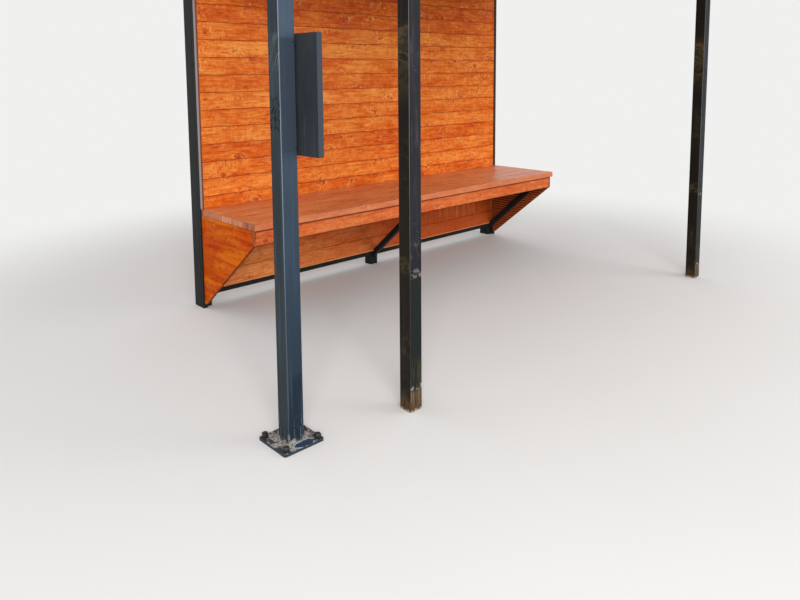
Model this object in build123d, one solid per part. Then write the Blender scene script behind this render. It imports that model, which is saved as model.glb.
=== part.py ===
"""Bus shelter: a welded frame of square steel tube with a boarded back wall, a deep timber bench
on braced arms and a trapezoidal sheet roof that falls to the back. A separate steel post with a
flat timetable case stands on its own base plate beside it.

Working frame: X = 0 on the shelter's middle line, Y = 0 on the front faces of the front posts and
growing towards the back wall, Z = 0 on the ground. Everything is moved at the end, so that the
origin lies at the bottom centre of the whole. Millimetres.
"""
import os
from math import atan2, cos, degrees, radians, sin, tan

from build123d import *

os.makedirs("parts", exist_ok=True)

# Shelter frame
shelter_width = 3060.0      # over the outer faces of the corner posts
shelter_depth = 2110.0      # front face of the front posts to the back face of the back corner posts
post_side = 75.0
corner_depth = 100.0        # the two back corner posts are deeper than they are wide
post_wall = 3.0
post_corner = 7.0           # outer corner radius of the post tube
back_height = 2250.0        # underside of the roof frame at the back face of the back posts
roof_fall = 3.0             # degrees, downwards to the back

# Roof
beam_height = 75.0
beam_wall = 3.0
purlin_side = 40.0
purlin_wall = 2.0
purlin_rows = 2
sheet_rib = 35.0            # height of the trapezoidal ribs
sheet_thickness = 1.0
sheet_ribs = 15
crown_width = 42.0
rib_flank = 18.0            # horizontal run of one sloping flank
eave_overhang = 70.0        # how far the sheet passes the back beam
trim_thickness = 1.0
trim_leg = 120.0            # height of the folded edge trim
trim_flange = 75.0          # its top leg, which lies on the ribs
trim_gap = 0.3

# Back wall
board_thickness = 20.0
edge_flange = 30.0          # steel angle round the ends of the boards, its width in front
edge_thickness = 3.0
edge_clearance = 2.0        # between the ends of the boards and the angle
wall_bottom = 115.0         # lower edge of the boards above the ground
wall_top_gap = 3.0
rail_height = 60.0
rail_depth = 40.0
rail_wall = 2.0
rail_bottom = 75.0
tube_corner = 4.0           # outer corner radius of the small tubes
timber_gap = 0.3            # between timber and what carries it

# Bench
seat_top = 672.0
seat_front = 1328.0         # front edge of the seat
seat_side_margin = 10.0     # end of the seat inside the post's outer face
plank_thickness = 42.0
plank_count = 5
plank_gap = 2.0
plank_rounding = 4.0
fascia_thickness = 25.0
fascia_height = 95.0
seat_overhang = 25.0        # how far the seat passes the fascia and the bench ends in front
fascia_rounding = 3.0
end_thickness = 22.0
end_tip_height = 30.0       # blunt lower tip of the end panel above the ground
end_tip_width = 17.0
arm_width = 40.0
arm_height = 60.0
arm_wall = 3.0
brace_side = 40.0
brace_foot = 87.0           # centre line of the brace on the post's face, above the ground
brace_reach = 545.0         # from the post's face to where the centre line meets the arm's underside
notch_gap = 1.0             # round the arms and braces where they pass the boards

# Stop post with its timetable case
stop_offset = 528.0         # post centre outside the shelter's left face
stop_y = 189.0
stop_side = 80.0
stop_wall = 4.0
stop_corner = 8.0
stop_height = 2400.0
plate_side = 200.0
plate_thickness = 12.0
plate_corner = 10.0
bolt_spacing = 160.0
bolt_hole = 18.0
cap_thickness = 5.0
cap_spigot = 20.0
cap_fit = 0.3
case_depth = 330.0
case_height = 495.0
case_thickness = 26.0
case_bottom = 1223.0
case_corner = 6.0
case_wall = 2.0
case_frame = 24.0           # width of the frame round the window
window_thickness = 3.0
panel_thickness = 3.0       # bare board behind the window
case_fit = 0.3
bracket_gap = 13.0          # space between post and case
bracket_depth = 34.0
bracket_height = 20.0
bracket_inset = 33.0        # bracket centre inside the case's upper and lower edge

# Derived sizes
half_width = shelter_width / 2
post_x = half_width - post_side / 2
back_face = shelter_depth - corner_depth         # front faces of the back posts
wall_front = back_face - timber_gap - board_thickness
wall_half = half_width - edge_thickness - edge_clearance
edge_front = wall_front - timber_gap - edge_thickness
wall_top = back_height - wall_top_gap
seat_half = half_width - seat_side_margin
seat_back = edge_front - timber_gap
seat_under = seat_top - plank_thickness
arm_top = seat_under - timber_gap
arm_under = arm_top - arm_height
fascia_front = seat_front + seat_overhang
fascia_under = arm_top - fascia_height
arm_front = fascia_front + fascia_thickness + timber_gap
end_inner = seat_half - end_thickness
arm_x = end_inner - timber_gap - arm_width / 2
stop_x = -half_width - stop_offset
fall = radians(roof_fall)

# The roof frame is flat in its own plane: local x along the shelter, local y down the fall,
# local z square to the roof. Its origin lies on the underside, above the back posts' back faces.
roof = Plane(
    origin=(0, shelter_depth, back_height),
    x_dir=(1, 0, 0),
    z_dir=(0, sin(fall), cos(fall)),
)
roof_length = shelter_depth / cos(fall)


def hollow_section(width, height, wall, corner):
    """Cross-section of a rectangular steel tube with rounded corners."""
    inner = RectangleRounded(width - 2 * wall, height - 2 * wall, corner - wall)
    return RectangleRounded(width, height, corner) - inner


def tube(start, end, section, across=(1, 0, 0)):
    """Tube between two points; the section's width lies along `across`."""
    start, end = Vector(*start), Vector(*end)
    plane = Plane(origin=start, x_dir=across, z_dir=end - start)
    return extrude(plane * section, (end - start).length)


def block(low, high):
    """Plain block between two corners."""
    size = [b - a for a, b in zip(low, high)]
    return Pos(*low) * Box(*size, align=(Align.MIN, Align.MIN, Align.MIN))


def in_roof(shape):
    """Moves a piece drawn flat into the sloping roof plane."""
    return roof.location * shape


def post(x, y, depth=post_side):
    """Post from the ground, its top cut to the fall of the roof."""
    section = hollow_section(post_side, depth, post_wall, post_corner)
    tall = back_height + shelter_depth
    return split(tube((x, y, 0), (x, y, tall), section), bisect_by=roof, keep=Keep.BOTTOM)


def cross_beam(y):
    """Roof beam along the shelter, full width."""
    section = hollow_section(beam_height, post_side, beam_wall, post_corner)
    start, end = (-half_width, y, beam_height / 2), (half_width, y, beam_height / 2)
    return in_roof(tube(start, end, section, across=(0, 0, 1)))


def fall_beam(x):
    """Roof beam down the fall, fitted between the front and the back beam."""
    section = hollow_section(post_side, beam_height, beam_wall, post_corner)
    start = (x, post_side - roof_length, beam_height / 2)
    return in_roof(tube(start, (x, -post_side, beam_height / 2), section))


def purlin(side, row):
    """Light tube from the middle beam to a side beam, flush with their tops."""
    section = hollow_section(purlin_side, purlin_side, purlin_wall, tube_corner)
    clear = roof_length - 2 * post_side
    y = -post_side - clear * row / (purlin_rows + 1)
    z = beam_height - purlin_side / 2
    start, end = (side * post_side / 2, y, z), (side * (half_width - post_side), y, z)
    return in_roof(tube(start, end, section, across=(0, 0, 1)))


def roof_sheet():
    """Trapezoidal sheet with its ribs down the fall; both side edges end on a crown."""
    pitch = (shelter_width - crown_width) / (sheet_ribs - 1)
    low = []
    for rib in range(sheet_ribs):
        middle = rib * pitch + crown_width / 2 - half_width
        left, right = middle - crown_width / 2, middle + crown_width / 2
        if rib > 0:
            low.append((left - rib_flank, 0))
        low += [(left, sheet_rib), (right, sheet_rib)]
        if rib < sheet_ribs - 1:
            low.append((right + rib_flank, 0))
    high = [(x, z + sheet_thickness) for x, z in low]
    outline = Polyline(*low, *reversed(high), close=True)
    start = Plane(origin=(0, eave_overhang, beam_height), x_dir=(1, 0, 0), z_dir=(0, -1, 0))
    return in_roof(extrude(start * make_face(outline), roof_length + eave_overhang))


def folded_trim(start, length, direction, inward):
    """Folded edge trim: a leg down the outside and a flange over the ribs, pointing inward."""
    top = beam_height + sheet_rib + sheet_thickness + trim_gap + trim_thickness
    inside = trim_thickness
    outline = Polyline(
        (0, top - trim_leg), (0, top), (trim_flange, top), (trim_flange, top - trim_thickness),
        (inside, top - trim_thickness), (inside, top - trim_leg), close=True,
    )
    plane = Plane(origin=start, x_dir=inward, z_dir=direction)
    drawn = make_face(outline)
    upright = plane.y_dir.Z
    if upright < 0:
        plane = Plane(origin=Vector(*start) + Vector(*direction) * length, x_dir=inward,
                      z_dir=Vector(*direction) * -1)
    return in_roof(extrude(plane * drawn, length))


def front_trim():
    """Trim over the front edge, across the whole width."""
    outside = trim_gap + trim_thickness
    start = (-half_width - outside, -roof_length - outside, 0)
    return folded_trim(start, shelter_width + 2 * outside, (1, 0, 0), (0, 1, 0))


def side_trim(side):
    """Trim down one side, from behind the front trim to the end of the sheet."""
    start_y = trim_flange - roof_length - trim_thickness
    start = (side * (half_width + trim_gap + trim_thickness), start_y, 0)
    return folded_trim(start, eave_overhang - start_y, (0, 1, 0), (-side, 0, 0))


def wall_rail(side):
    """Lower steel rail between the middle back post and a corner back post."""
    section = hollow_section(rail_height, rail_depth, rail_wall, tube_corner)
    y, z = back_face + rail_depth / 2, rail_bottom + rail_height / 2
    start, end = (side * post_side / 2, y, z), (side * (half_width - post_side), y, z)
    return tube(start, end, section, across=(0, 0, 1))


def arm(x):
    """Level tube that carries the seat, from the face of a back post to the fascia."""
    section = hollow_section(arm_width, arm_height, arm_wall, tube_corner)
    z = arm_top - arm_height / 2
    return tube((x, back_face, z), (x, arm_front, z), section)


brace_angle = atan2(arm_under - brace_foot, brace_reach)


def brace(x):
    """Slanted tube under an arm, cut to the post's face and to the arm's underside."""
    section = hollow_section(brace_side, brace_side, arm_wall, tube_corner)
    up = Vector(0, -cos(brace_angle), sin(brace_angle))
    foot = Vector(x, back_face, brace_foot)
    length = brace_reach / cos(brace_angle)
    whole = tube(foot - up * 2 * brace_side, foot + up * (length + 2 * brace_side), section)
    face = Plane(origin=(x, back_face, 0), z_dir=(0, -1, 0))
    under = Plane(origin=(x, 0, arm_under), z_dir=(0, 0, -1))
    return split(split(whole, bisect_by=face, keep=Keep.TOP), bisect_by=under, keep=Keep.TOP)


def wall_edge(side):
    """Steel angle that covers the ends of the wall boards and meets the corner post behind them."""
    outside, inside = half_width, half_width - edge_thickness
    outline = Polyline(
        (outside, back_face), (outside, edge_front), (half_width - edge_flange, edge_front),
        (half_width - edge_flange, edge_front + edge_thickness), (inside, edge_front + edge_thickness),
        (inside, back_face), close=True,
    )
    angle = extrude(make_face(outline), wall_top)
    return angle if side > 0 else mirror(angle, about=Plane.YZ)


def lower_boards():
    """Boards behind and below the seat, notched round the arms and the feet of the braces."""
    boards = block((-wall_half, wall_front, wall_bottom), (wall_half, back_face - timber_gap, seat_under))
    brace_top = brace_foot + (back_face - wall_front) * tan(brace_angle)
    brace_top += brace_side / 2 / cos(brace_angle) + notch_gap
    for x in (-arm_x, 0, arm_x):
        half = arm_width / 2 + notch_gap
        boards -= block((x - half, seat_front, arm_under - notch_gap), (x + half, shelter_depth, seat_top))
        half = brace_side / 2 + notch_gap
        boards -= block((x - half, seat_front, 0), (x + half, shelter_depth, brace_top))
    return boards


def upper_boards():
    """Boards of the back wall above the bench."""
    return block((-wall_half, wall_front, seat_under + timber_gap), (wall_half, back_face - timber_gap, wall_top))


def seat_plank(index):
    """One plank of the seat with eased edges, counted from the front."""
    width = (seat_back - seat_front - (plank_count - 1) * plank_gap) / plank_count
    y = seat_front + width / 2 + index * (width + plank_gap)
    z = seat_top - plank_thickness / 2
    plane = Plane(origin=(-seat_half, y, z), x_dir=(0, 1, 0), z_dir=(1, 0, 0))
    return extrude(plane * RectangleRounded(width, plank_thickness, plank_rounding), 2 * seat_half)


def fascia():
    """Board on the front ends of the arms, between the two bench ends."""
    half = end_inner - timber_gap
    plane = Plane(origin=(-half, fascia_front + fascia_thickness / 2, arm_top - fascia_height / 2),
                  x_dir=(0, 1, 0), z_dir=(1, 0, 0))
    section = RectangleRounded(fascia_thickness, fascia_height, fascia_rounding)
    return extrude(plane * section, 2 * half)


def end_panel(side):
    """End of the bench, as high as the fascia in front and cut on the slant from its lower edge."""
    back = edge_front - timber_gap
    outline = Polyline(
        (back, end_tip_height), (back, arm_top), (fascia_front, arm_top),
        (fascia_front, fascia_under), (back - end_tip_width, end_tip_height), close=True,
    )
    inner = min(side * end_inner, side * seat_half)
    plane = Plane(origin=(inner, 0, 0), x_dir=(0, 1, 0), z_dir=(1, 0, 0))
    return extrude(plane * make_face(outline), end_thickness)


def stop_post():
    """Post of the timetable case, standing on its base plate."""
    section = hollow_section(stop_side, stop_side, stop_wall, stop_corner)
    return tube((stop_x, stop_y, plate_thickness), (stop_x, stop_y, stop_height), section)


def stop_plate():
    """Base plate with four bolt holes."""
    drawn = RectangleRounded(plate_side, plate_side, plate_corner)
    drawn -= GridLocations(bolt_spacing, bolt_spacing, 2, 2) * Circle(bolt_hole / 2)
    return Pos(stop_x, stop_y, 0) * extrude(drawn, plate_thickness)


def stop_cap():
    """Cap on the open top of the post, with a spigot inside the tube."""
    bore = stop_side - 2 * (stop_wall + cap_fit)
    cap = extrude(RectangleRounded(stop_side, stop_side, stop_corner), cap_thickness)
    cap += Pos(0, 0, -cap_spigot) * extrude(RectangleRounded(bore, bore, stop_corner - stop_wall), cap_spigot)
    return Pos(stop_x, stop_y, stop_height) * cap


case_x = stop_x + stop_side / 2 + bracket_gap        # back of the case
case_z = case_bottom + case_height / 2
case_plane = Plane(origin=(case_x, stop_y, case_z), x_dir=(0, 1, 0), z_dir=(1, 0, 0))


def timetable_case():
    """Flat sheet case beside the post, plain at its back and with a framed opening on the far side."""
    body = extrude(RectangleRounded(case_depth, case_height, case_corner), case_thickness)
    hollow = RectangleRounded(
        case_depth - 2 * case_wall, case_height - 2 * case_wall, case_corner - case_wall
    )
    body -= Pos(0, 0, case_wall) * extrude(hollow, case_thickness - 2 * case_wall)
    opening = Rectangle(case_depth - 2 * case_frame, case_height - 2 * case_frame)
    body -= Pos(0, 0, case_wall) * extrude(opening, case_thickness)
    return case_plane.location * body


def case_layer(front, thickness):
    """Flat layer that fills the inside of the case, `front` below the outside of its frame."""
    edge = 2 * (case_wall + case_fit)
    drawn = RectangleRounded(case_depth - edge, case_height - edge, case_corner - case_wall)
    return case_plane.location * Pos(0, 0, case_thickness - front - thickness) * extrude(drawn, thickness)


def case_window():
    """Clear pane behind the frame."""
    return case_layer(case_wall + case_fit, window_thickness)


def case_panel():
    """Bare board behind the pane."""
    return case_layer(case_wall + window_thickness + 2 * case_fit, panel_thickness)


def case_bracket(end):
    """Spacer between post and case, near the case's upper or lower edge."""
    z = case_z + end * (case_height / 2 - bracket_inset)
    front = stop_y - stop_side / 2 + stop_corner
    low = (case_x - bracket_gap, front, z - bracket_height / 2)
    return block(low, (case_x, front + bracket_depth, z + bracket_height / 2))


parts = {}
sides = {"left": -1, "right": 1}
places = {"left": -1, "middle": 0, "right": 1}

for name, side in sides.items():
    parts[f"post_front_{name}"] = post(side * post_x, post_side / 2)
    parts[f"post_back_{name}"] = post(side * post_x, back_face + corner_depth / 2, corner_depth)
parts["post_back_middle"] = post(0, back_face + post_side / 2)

parts["roof_beam_front"] = cross_beam(post_side / 2 - roof_length)
parts["roof_beam_back"] = cross_beam(-post_side / 2)
for name, place in places.items():
    parts[f"roof_beam_{name}"] = fall_beam(place * post_x)
for name, side in sides.items():
    for row in range(1, purlin_rows + 1):
        parts[f"purlin_{name}_{row}"] = purlin(side, row)
parts["roof_sheet"] = roof_sheet()
parts["roof_trim_front"] = front_trim()
for name, side in sides.items():
    parts[f"roof_trim_{name}"] = side_trim(side)

for name, side in sides.items():
    parts[f"wall_rail_{name}"] = wall_rail(side)
    parts[f"wall_edge_{name}"] = wall_edge(side)
parts["wall_boards_lower"] = lower_boards()
parts["wall_boards_upper"] = upper_boards()

for name, place in places.items():
    parts[f"bench_arm_{name}"] = arm(place * arm_x)
    parts[f"bench_brace_{name}"] = brace(place * arm_x)
for index in range(plank_count):
    parts[f"seat_plank_{index + 1}"] = seat_plank(index)
parts["bench_fascia"] = fascia()
for name, side in sides.items():
    parts[f"bench_end_{name}"] = end_panel(side)

parts["stop_post"] = stop_post()
parts["stop_base_plate"] = stop_plate()
parts["stop_cap"] = stop_cap()
parts["timetable_case"] = timetable_case()
parts["case_window"] = case_window()
parts["case_panel"] = case_panel()
parts["case_bracket_upper"] = case_bracket(1)
parts["case_bracket_lower"] = case_bracket(-1)

whole = Compound(list(parts.values())).bounding_box()
origin = Vector(whole.center().X, whole.center().Y, whole.min.Z)
for name, shape in parts.items():
    export_step(Pos(-origin.X, -origin.Y, -origin.Z) * shape, f"parts/{name}.step")

print("origin in the working frame", round(origin.X, 3), round(origin.Y, 3), round(origin.Z, 3))
print("whole", [round(v, 2) for v in tuple(whole.size)], "nodes", len(parts))
print("brace angle", round(degrees(brace_angle), 2))
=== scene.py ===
import math
import random

import bmesh
import bpy
from mathutils import Matrix, Vector

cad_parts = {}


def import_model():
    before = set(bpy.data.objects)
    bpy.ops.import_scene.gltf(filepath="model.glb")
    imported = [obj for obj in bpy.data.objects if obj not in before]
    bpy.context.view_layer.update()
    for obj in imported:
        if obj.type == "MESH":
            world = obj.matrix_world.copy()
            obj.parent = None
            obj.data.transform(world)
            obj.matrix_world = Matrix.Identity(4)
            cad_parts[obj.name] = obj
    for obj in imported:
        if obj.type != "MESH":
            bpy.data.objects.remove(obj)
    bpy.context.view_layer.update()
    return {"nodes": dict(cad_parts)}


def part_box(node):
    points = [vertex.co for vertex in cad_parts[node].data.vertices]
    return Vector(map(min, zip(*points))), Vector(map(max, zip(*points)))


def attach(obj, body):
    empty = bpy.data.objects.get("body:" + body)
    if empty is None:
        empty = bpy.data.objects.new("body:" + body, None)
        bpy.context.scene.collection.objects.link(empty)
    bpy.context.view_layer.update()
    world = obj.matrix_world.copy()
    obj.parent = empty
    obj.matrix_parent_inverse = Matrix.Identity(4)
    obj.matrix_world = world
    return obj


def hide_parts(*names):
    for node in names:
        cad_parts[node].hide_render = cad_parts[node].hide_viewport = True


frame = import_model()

random.seed(11)

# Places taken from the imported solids, in metres
LEFT, FRONT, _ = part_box("post_front_left")[0]  # outer left and front faces of the shelter
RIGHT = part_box("post_front_right")[1].x
MIDDLE = (LEFT + RIGHT) / 2
POST_FACE, POST_BACK = (corner.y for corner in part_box("post_back_left"))  # faces of the back posts
SEAT_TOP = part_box("seat_plank_1")[1].z
PLACES = ("left", "middle", "right")


def rgb(r, g, b):
    """Linear colour from 8-bit display values."""
    def channel(v):
        v /= 255
        return v / 12.92 if v <= 0.04045 else ((v + 0.055) / 1.055) ** 2.4
    return (channel(r), channel(g), channel(b), 1.0)


# Materials

class Paint:
    """A node material with short calls for its nodes."""

    def __init__(self, name, roughness=0.5, **sockets):
        self.mat = bpy.data.materials.new(name)
        self.mat.use_nodes = True
        self.tree = self.mat.node_tree
        self.bsdf = self.tree.nodes["Principled BSDF"]
        self.bsdf.inputs["Roughness"].default_value = roughness
        for socket, value in sockets.items():
            self.bsdf.inputs[socket.replace("_", " ")].default_value = value

    def new(self, kind):
        return self.tree.nodes.new("ShaderNode" + kind)

    def put(self, socket, value):
        if isinstance(value, bpy.types.NodeSocket):
            self.tree.links.new(value, socket)
        else:
            socket.default_value = value

    def math(self, operation, a, b=0.0, c=0.0, clamp=False):
        n = self.new("Math")
        n.operation, n.use_clamp = operation, clamp
        for socket, value in zip(n.inputs, (a, b, c)):
            self.put(socket, value)
        return n.outputs[0]

    def plus(self, a, b, clamp=False):
        return self.math("ADD", a, b, clamp=clamp)

    def minus(self, a, b):
        return self.math("SUBTRACT", a, b)

    def times(self, *factors):
        product = factors[0]
        for factor in factors[1:]:
            product = self.math("MULTIPLY", product, factor)
        return product

    def linear(self, value, factor, offset):
        return self.math("MULTIPLY_ADD", value, factor, offset)

    def square(self, value):
        return self.math("POWER", value, 2.0)

    def mix(self, fac, a, b):
        n = self.new("Mix")
        n.data_type = "RGBA"
        self.put(n.inputs[0], fac)
        self.put(n.inputs[6], a)
        self.put(n.inputs[7], b)
        return n.outputs[2]

    def step(self, value, low, high, to=(0.0, 1.0)):
        """Smooth step of a value from low to high."""
        n = self.new("MapRange")
        n.interpolation_type = "SMOOTHSTEP"
        for socket, v in zip(n.inputs, (value, low, high, *to)):
            self.put(socket, v)
        return n.outputs[0]

    def fall(self, value, low, high):
        """1 up to low and 0 from high."""
        return self.step(value, low, high, (1.0, 0.0))

    def ramp(self, fac, *stops):
        n = self.new("ValToRGB")
        self.put(n.inputs[0], fac)
        while len(n.color_ramp.elements) < len(stops):
            n.color_ramp.elements.new(0.5)
        for e, (at, colour) in zip(n.color_ramp.elements, stops):
            e.position, e.color = at, colour
        return n.outputs[0]

    def scaled(self, vector, scale, move=(0, 0, 0)):
        n = self.new("Mapping")
        self.put(n.inputs["Vector"], vector)
        n.inputs["Location"].default_value = move
        n.inputs["Scale"].default_value = scale
        return n.outputs[0]

    def noise(self, vector, scale, detail=3.0, rough=0.5, distortion=0.0, move=(0, 0, 0)):
        n = self.new("TexNoise")
        self.put(n.inputs["Vector"], self.scaled(vector, scale, move))
        n.inputs["Scale"].default_value = 1.0
        n.inputs["Detail"].default_value = detail
        n.inputs["Roughness"].default_value = rough
        n.inputs["Distortion"].default_value = distortion
        return n.outputs[0]

    def split(self, vector):
        n = self.new("SeparateXYZ")
        self.put(n.inputs[0], vector)
        return n.outputs

    def combine(self, x, y, z):
        n = self.new("CombineXYZ")
        for socket, value in zip(n.inputs, (x, y, z)):
            self.put(socket, value)
        return n.outputs[0]

    def band(self, value, low, high, soft):
        """1 between low and high, with soft ends."""
        rise = self.step(value, low - soft, low + soft)
        return self.times(rise, self.fall(value, high - soft, high + soft))

    def object_space(self):
        return self.new("TexCoord").outputs[3]

    def normal(self, out=1):
        """Parts of the shading normal or, with 3, of the face's true normal."""
        return self.split(self.new("NewGeometry").outputs[out])

    def from_axis(self, vector):
        """Distance from the upright axis."""
        n = self.new("VectorMath")
        n.operation = "LENGTH"
        self.put(n.inputs[0], self.scaled(vector, (1, 1, 0)))
        return n.outputs[1]

    def attribute(self, name, out=1):
        n = self.new("Attribute")
        n.attribute_name = name
        return n.outputs[out]

    def bump(self, height, strength, distance):
        n = self.new("Bump")
        n.inputs["Strength"].default_value = strength
        n.inputs["Distance"].default_value = distance
        self.put(n.inputs["Height"], height)
        self.put(self.bsdf.inputs["Normal"], n.outputs[0])

    def colour(self, value):
        self.put(self.bsdf.inputs["Base Color"], value)

    def rough(self, value):
        self.put(self.bsdf.inputs["Roughness"], value)

    def mottled(self, scale, a, b, detail=3.0):
        """Colours the material with two mixed by noise."""
        self.colour(self.mix(self.noise(self.object_space(), (scale, scale, scale), detail), a, b))


def lighter(colour, factor, lift=0.0):
    """The colour made lighter, or darker below 1, with some grey added."""
    return tuple(c * factor + lift for c in colour[:3]) + (1.0,)


def wood(name, light, middle, dark, knot, box=None, stored=False, upright=False, tone=0.5, end_axis=0,
         end_colour=None, gloss=0.4, seed=0.0, sheen=0.1, edge=0.75, edge_dark=0.6, knots=1.0, drips=0.0,
         layers=(1.0, 1.0, 0.55, 0.3, 0.18), coarse=1.0, joint=1.0, redden=None, pale_foot=None, groove=None):
    """Stained softwood. Boards with stored grain take their place from it, others from their own box.

    layers: weights of broad bands, bands, streaks, rings and fibres. redden: from x, to x, share, colour.
    groove: x of the ribbed face, depth of its ribs.
    """
    p = Paint(name, roughness=gloss, Specular_IOR_Level=sheen)
    normal = p.normal(3)
    world = p.split(p.object_space())
    low, high = box or (None, None)
    if stored:
        v = p.attribute("grain")
        tone = p.attribute("tone", out=2)
        below, above, _ = p.split(p.attribute("rim"))
        rim_face = 1.0
    else:
        axis = 2 if upright else 1
        shifted = p.plus(world[0], seed * 3.7)
        if upright:
            v = p.combine(shifted, world[2], world[1])
        else:
            v = p.combine(shifted, p.plus(world[1], world[2]), p.times(p.minus(world[2], world[1]), 0.5))
        below, above = p.minus(world[axis], low[axis]), p.minus(high[axis], world[axis])
        rim_face = 1.0 if upright else p.step(normal[2], 0.4, 0.9)
    rim = p.math("MINIMUM", below, above)
    x, y, z = p.split(v)

    # knots, at most one to a cell; the growth rings flow round them
    along, wide = 3.4, 8.6
    cells = p.scaled(v, (along, wide, 1), (seed, seed * 0.7, 0))
    n = p.new("TexVoronoi")
    n.voronoi_dimensions = "2D"
    p.put(n.inputs["Vector"], cells)
    n.inputs["Scale"].default_value = 1.0
    chance, turn, _ = p.split(n.outputs["Color"])
    place = p.split(n.outputs["Position"])
    here = p.split(cells)
    dx = p.times(p.minus(here[0], place[0]), 1 / along)
    dy = p.times(p.minus(here[1], place[1]), 1 / wide)
    lean = p.linear(turn, 1.6, -0.8)
    skew = p.plus(dx, p.times(dy, lean))
    size = p.step(chance, 0.15, 1.0, (0.002, 0.0145 * knots))
    near = p.plus(p.square(p.times(skew, 0.72)), p.square(dy))
    away = p.math("SQRT", near)
    ragged = p.noise(v, (60, 95, 95), rough=0.6, move=(seed, 2.0, 0))
    ratio = p.plus(p.math("DIVIDE", away, size), p.linear(ragged, 2.4, -1.2))
    core = p.fall(ratio, 0.55, 1.25)
    halo = p.fall(p.math("DIVIDE", away, size), 1.0, 5.5)
    halo = p.times(halo, p.step(size, 0.003, 0.006))
    pull = p.math("DIVIDE", p.times(p.square(size), 4.5), p.linear(p.square(size), 2.4, near))
    pull = p.times(pull, p.fall(away, 0.025, 0.085))
    flow = p.minus(y, p.times(dy, pull))

    # grain along the board, from broad bands down to fibres
    drift = p.noise(v, (1.1, 4.0, 4.0), detail=2.0, move=(seed, 3.1, 0))
    flow = p.plus(flow, p.times(drift, 0.05))
    g = p.combine(x, flow, z)
    broad = p.noise(v, (3, 9, 9), rough=0.6, move=(0, 9.0, seed))
    band = p.noise(g, (6.5 / coarse, 58.0 / coarse, 30.0), rough=0.55, distortion=0.5)
    streak = p.noise(g, (20, 150, 60), rough=0.6, distortion=0.5, move=(4.0, 0, seed))
    fibre = p.noise(g, (30, 620, 620), detail=2.0, rough=0.6)
    rings = p.noise(g, (1.6, 300.0, 60.0), detail=2.0, move=(0, 0, seed))
    blotch = p.noise(g, (14, 42, 30), detail=4.0, rough=0.62, distortion=1.0, move=(7.0, seed, 0))
    sheets = p.noise(g, (17, 13, 13), rough=0.65, distortion=1.4, move=(2.0, 5.0, seed))

    value = p.linear(tone, 0.44, 0.28)
    sheets_weight = 0.6
    for layer, weight in zip((broad, band, streak, rings, fibre, sheets), (*layers, sheets_weight)):
        value = p.plus(value, p.linear(layer, weight, -weight / 2))
    value = p.plus(value, p.times(halo, p.linear(streak, 2.0, -1.1)), clamp=True)
    colour = p.ramp(value, (0.1, dark), (0.46, middle), (0.88, light))
    red = p.times(p.step(blotch, 0.5, 0.66), p.linear(halo, 0.35, 0.4))
    colour = p.mix(red, colour, dark)
    gold = p.step(p.noise(g, (19, 105, 60), move=(3.0, 0, seed)), 0.56, 0.68)
    colour = p.mix(p.times(gold, p.linear(halo, 0.2, 0.3)), colour, light)
    # pale swirls round the knots: partly the grain's figure, partly painted highlights of the glossy finish
    twisted = p.combine(x, p.linear(dx, lean, flow), z)
    swirl = p.noise(twisted, (15, 85, 60), detail=2.0, distortion=0.8, move=(seed, 0, 8.0))
    pale = tuple(c * 0.75 + 0.25 * k for c, k in zip(light[:3], rgb(255, 196, 140)[:3])) + (1.0,)
    colour = p.mix(p.times(p.step(swirl, 0.46, 0.64), halo, 0.55), colour, pale)
    # short pale and dark curls across the grain, in places
    if stored and not drips:
        curl = p.noise(v, (52, 17, 17), detail=2.0, distortion=2.2, move=(seed, 4.0, 9.0))
        curly = p.step(p.noise(v, (4.5, 10.0, 10.0), detail=2.0, move=(6.0, seed, 0)), 0.51, 0.62)
        curly = p.times(curly, 0.55)
        colour = p.mix(p.times(p.step(curl, 0.54, 0.64), curly), colour, pale)
        colour = p.mix(p.times(p.step(curl, 0.44, 0.34), curly), colour, dark)
    colour = p.mix(p.times(core, 0.4), colour, knot)

    # darker along the board's edges, in patches
    edge_patches = p.noise(v, (5, 20, 20), rough=0.6, move=(11.0, 5.0, seed))
    upper = p.times(p.fall(above, 0.003, 0.022), p.step(edge_patches, 0.46, 0.6))
    lower = p.times(p.fall(below, 0.002, 0.02), p.step(edge_patches, 0.56, 0.4))
    edge_darkening = p.times(p.math("MAXIMUM", upper, lower), rim_face, edge_dark)
    colour = p.mix(edge_darkening, colour, dark)
    worn = p.noise(v, (26, 1, 1), rough=0.6, move=(0, 0, seed))
    reach = p.linear(worn, 0.0038, 0.0002)
    line = p.times(p.math("LESS_THAN", rim, reach), rim_face, joint)
    if redden is not None:
        start, end, most, tint = redden
        share = p.times(p.step(world[0], start, end, (0.0, most)), p.step(normal[1], 0.0, -0.5))
        colour = p.mix(share, colour, tint)
    if drips:
        # golden runs on the front, towards the right end
        run = p.noise(v, (62, 3, 5), rough=0.6, move=(0, seed, 6.0))
        run = p.times(p.step(run, 0.5, 0.64), p.band(world[2], 0.26, 0.46, 0.06), p.step(world[0], 0.7, 1.3))
        colour = p.mix(p.times(run, p.step(normal[1], 0.0, -0.5), drips), colour, middle)
    if pale_foot is not None:
        colour = p.mix(p.step(world[2], pale_foot + 0.006, pale_foot + 0.01, (0.6, 0.0)), colour, pale)
    if groove is not None:
        # painted shade: the ribbed face is browner, and darker at the bottom of its grooves
        face, depth = groove
        inward = p.times(normal[0], 1.0 if face < MIDDLE else -1.0)
        colour = p.mix(p.step(inward, 0.05, 0.3, (0.0, 0.7)), colour, rgb(158, 88, 56))
        deep = p.math("ABSOLUTE", p.minus(world[0], face))
        deep = p.times(p.step(deep, depth * 0.2, depth), p.fall(deep, depth * 1.2, depth * 1.5))
        colour = p.mix(p.times(deep, 0.8), colour, knot)
    if upright:
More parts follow.
